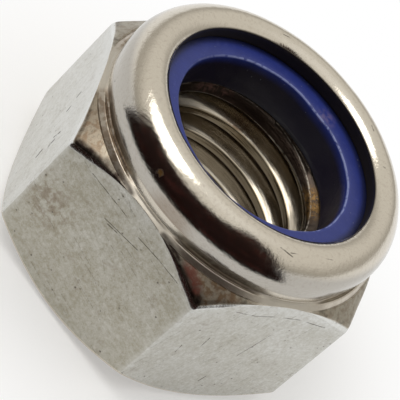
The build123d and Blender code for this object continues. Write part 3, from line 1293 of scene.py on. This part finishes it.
def make_sky(studio):
    """Pale ceiling, pale walls and the dark side behind the camera."""
    world = bpy.data.worlds.new("studio_sky")
    world.use_nodes = True
    graph = Graph(world.node_tree)
    direction = graph.add("ShaderNodeTexCoord").out("Generated")
    x, y, z = graph.parts(direction)
    rise = z.math("ARCSINE") * degrees(1)
    turn = x.math("ARCTAN2", y * -1) * degrees(1)
    middle = degrees(studio.dark_from + studio.dark_to) / 2
    half = degrees(studio.dark_to - studio.dark_from) / 2
    from_front = turn - TOP_MIDDLE
    above = rise - from_front * TOP_TILT - from_front * from_front * TOP_CURVE
    beside = (turn - middle).math("ABSOLUTE").smooth(half + 2, half - 3)
    dark = beside * rise.smooth(*DARK_FOOT) * above.smooth(*DARK_TOP)
    blotches = graph.noise(direction, 9.0, 2.0, 0.6).smooth(0.60, 0.66)
    room = graph.blend(blotches, studio.dark_sky, studio.red_sky)
    layers = (
        (rise.smooth(*LOW_BAND), studio.wall_sky),
        (rise.smooth(*WALL_BAND), studio.side_sky),
        (rise.smooth(*CEILING_BAND), studio.high_sky),
        (dark, room),
    )
    sky = graph.layered(studio.low_sky, layers)
    background = graph.add("ShaderNodeBackground", {}, {"Color": sky, "Strength": 1.0})
    graph.add("ShaderNodeOutputWorld", {}, {"Surface": background.out()})
    bpy.context.scene.world = world


def make_key_light(studio):
    """A round soft light above, on the camera's left."""
    data = bpy.data.lights.new("soft_light", "AREA")
    data.shape = "DISK"
    data.size = studio.key_diameter
    data.energy = studio.key_power
    data.color = (1.0, 0.985, 0.955)
    light = bpy.data.objects.new("soft_light", data)
    out = around(studio.key_turn, studio.key_rise)
    light.location = out * studio.key_distance
    light.rotation_euler = out.to_track_quat("Z", "Y").to_euler()
    bpy.context.scene.collection.objects.link(light)


def make_camera(studio):
    """The camera: turned, raised and rolled as the photograph was."""
    data = bpy.data.cameras.new("camera")
    data.lens = studio.lens
    data.clip_start = 5 * MM
    camera = bpy.data.objects.new("camera", data)
    out = around(studio.camera_turn, studio.camera_rise)
    camera.rotation_mode = "QUATERNION"
    roll = Matrix.Rotation(studio.camera_roll, 4, "Z")
    level = out.to_track_quat("Z", "Y").to_matrix().to_4x4()
    camera.matrix_world = Matrix.Translation(AIM_POINT + out * studio.camera_distance) @ level @ roll
    bpy.context.scene.collection.objects.link(camera)
    bpy.context.scene.camera = camera


# Operators and panel

class LOCKNUT_OT_body(Operator):
    """Builds the threaded steel body."""

    bl_idname = "locknut.body"
    bl_label = "Steel body"

    def execute(self, context):
        scene = context.scene
        body = make_body(BodyShape(scene.locknut_body, scene.locknut_thread))
        body.data.materials.append(steel_material(scene.locknut_finishes))
        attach(body, "root")
        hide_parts("nut_body")
        return {"FINISHED"}


class LOCKNUT_OT_ring(Operator):
    """Builds the nylon ring."""

    bl_idname = "locknut.ring"
    bl_label = "Nylon ring"

    def execute(self, context):
        scene = context.scene
        ring = make_ring(scene.locknut_ring)
        ring.data.materials.append(nylon_material(scene.locknut_finishes))
        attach(ring, "root")
        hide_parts("nylon_ring")
        return {"FINISHED"}


class LOCKNUT_OT_stage(Operator):
    """Builds the floor, the light and the camera."""

    bl_idname = "locknut.stage"
    bl_label = "Floor, light and camera"

    def execute(self, context):
        studio = context.scene.locknut_studio
        make_floor(studio)
        make_dark_cloth(studio)
        make_sky(studio)
        make_key_light(studio)
        make_camera(studio)
        context.scene.view_settings.view_transform = "Standard"
        return {"FINISHED"}


class LOCKNUT_PT_sidebar(Panel):
    """Lists the steps and their sizes."""

    bl_label = "Lock nut"
    bl_idname = "LOCKNUT_PT_sidebar"
    bl_space_type = "VIEW_3D"
    bl_region_type = "UI"
    bl_category = "Lock nut"

    def draw(self, context):
        scene = context.scene
        for operator, groups in STEPS:
            box = self.layout.box()
            box.operator(operator.bl_idname)
            for group in groups:
                settings = getattr(scene, group)
                for name in settings.__annotations__:
                    box.prop(settings, name)


STEPS = (
    (LOCKNUT_OT_body, ("locknut_body", "locknut_thread", "locknut_finishes")),
    (LOCKNUT_OT_ring, ("locknut_ring",)),
    (LOCKNUT_OT_stage, ("locknut_studio",)),
)
GROUPS = {
    "locknut_body": BodySizes,
    "locknut_thread": ThreadSizes,
    "locknut_ring": RingSizes,
    "locknut_finishes": Finishes,
    "locknut_studio": Studio,
}
CLASSES = (*GROUPS.values(), LOCKNUT_OT_body, LOCKNUT_OT_ring, LOCKNUT_OT_stage, LOCKNUT_PT_sidebar)


def register():
    """Registers the classes and puts the settings on the scene."""
    for kind in CLASSES:
        bpy.utils.register_class(kind)
    for name, group in GROUPS.items():
        setattr(bpy.types.Scene, name, PointerProperty(type=group))


def unregister():
    """Takes the settings and the classes away again."""
    for name in GROUPS:
        delattr(bpy.types.Scene, name)
    for kind in reversed(CLASSES):
        bpy.utils.unregister_class(kind)


def main():
    """Builds everything."""
    register()
    bpy.ops.locknut.body()
    bpy.ops.locknut.ring()
    bpy.ops.locknut.stage()


if __name__ == "__main__":
    main()
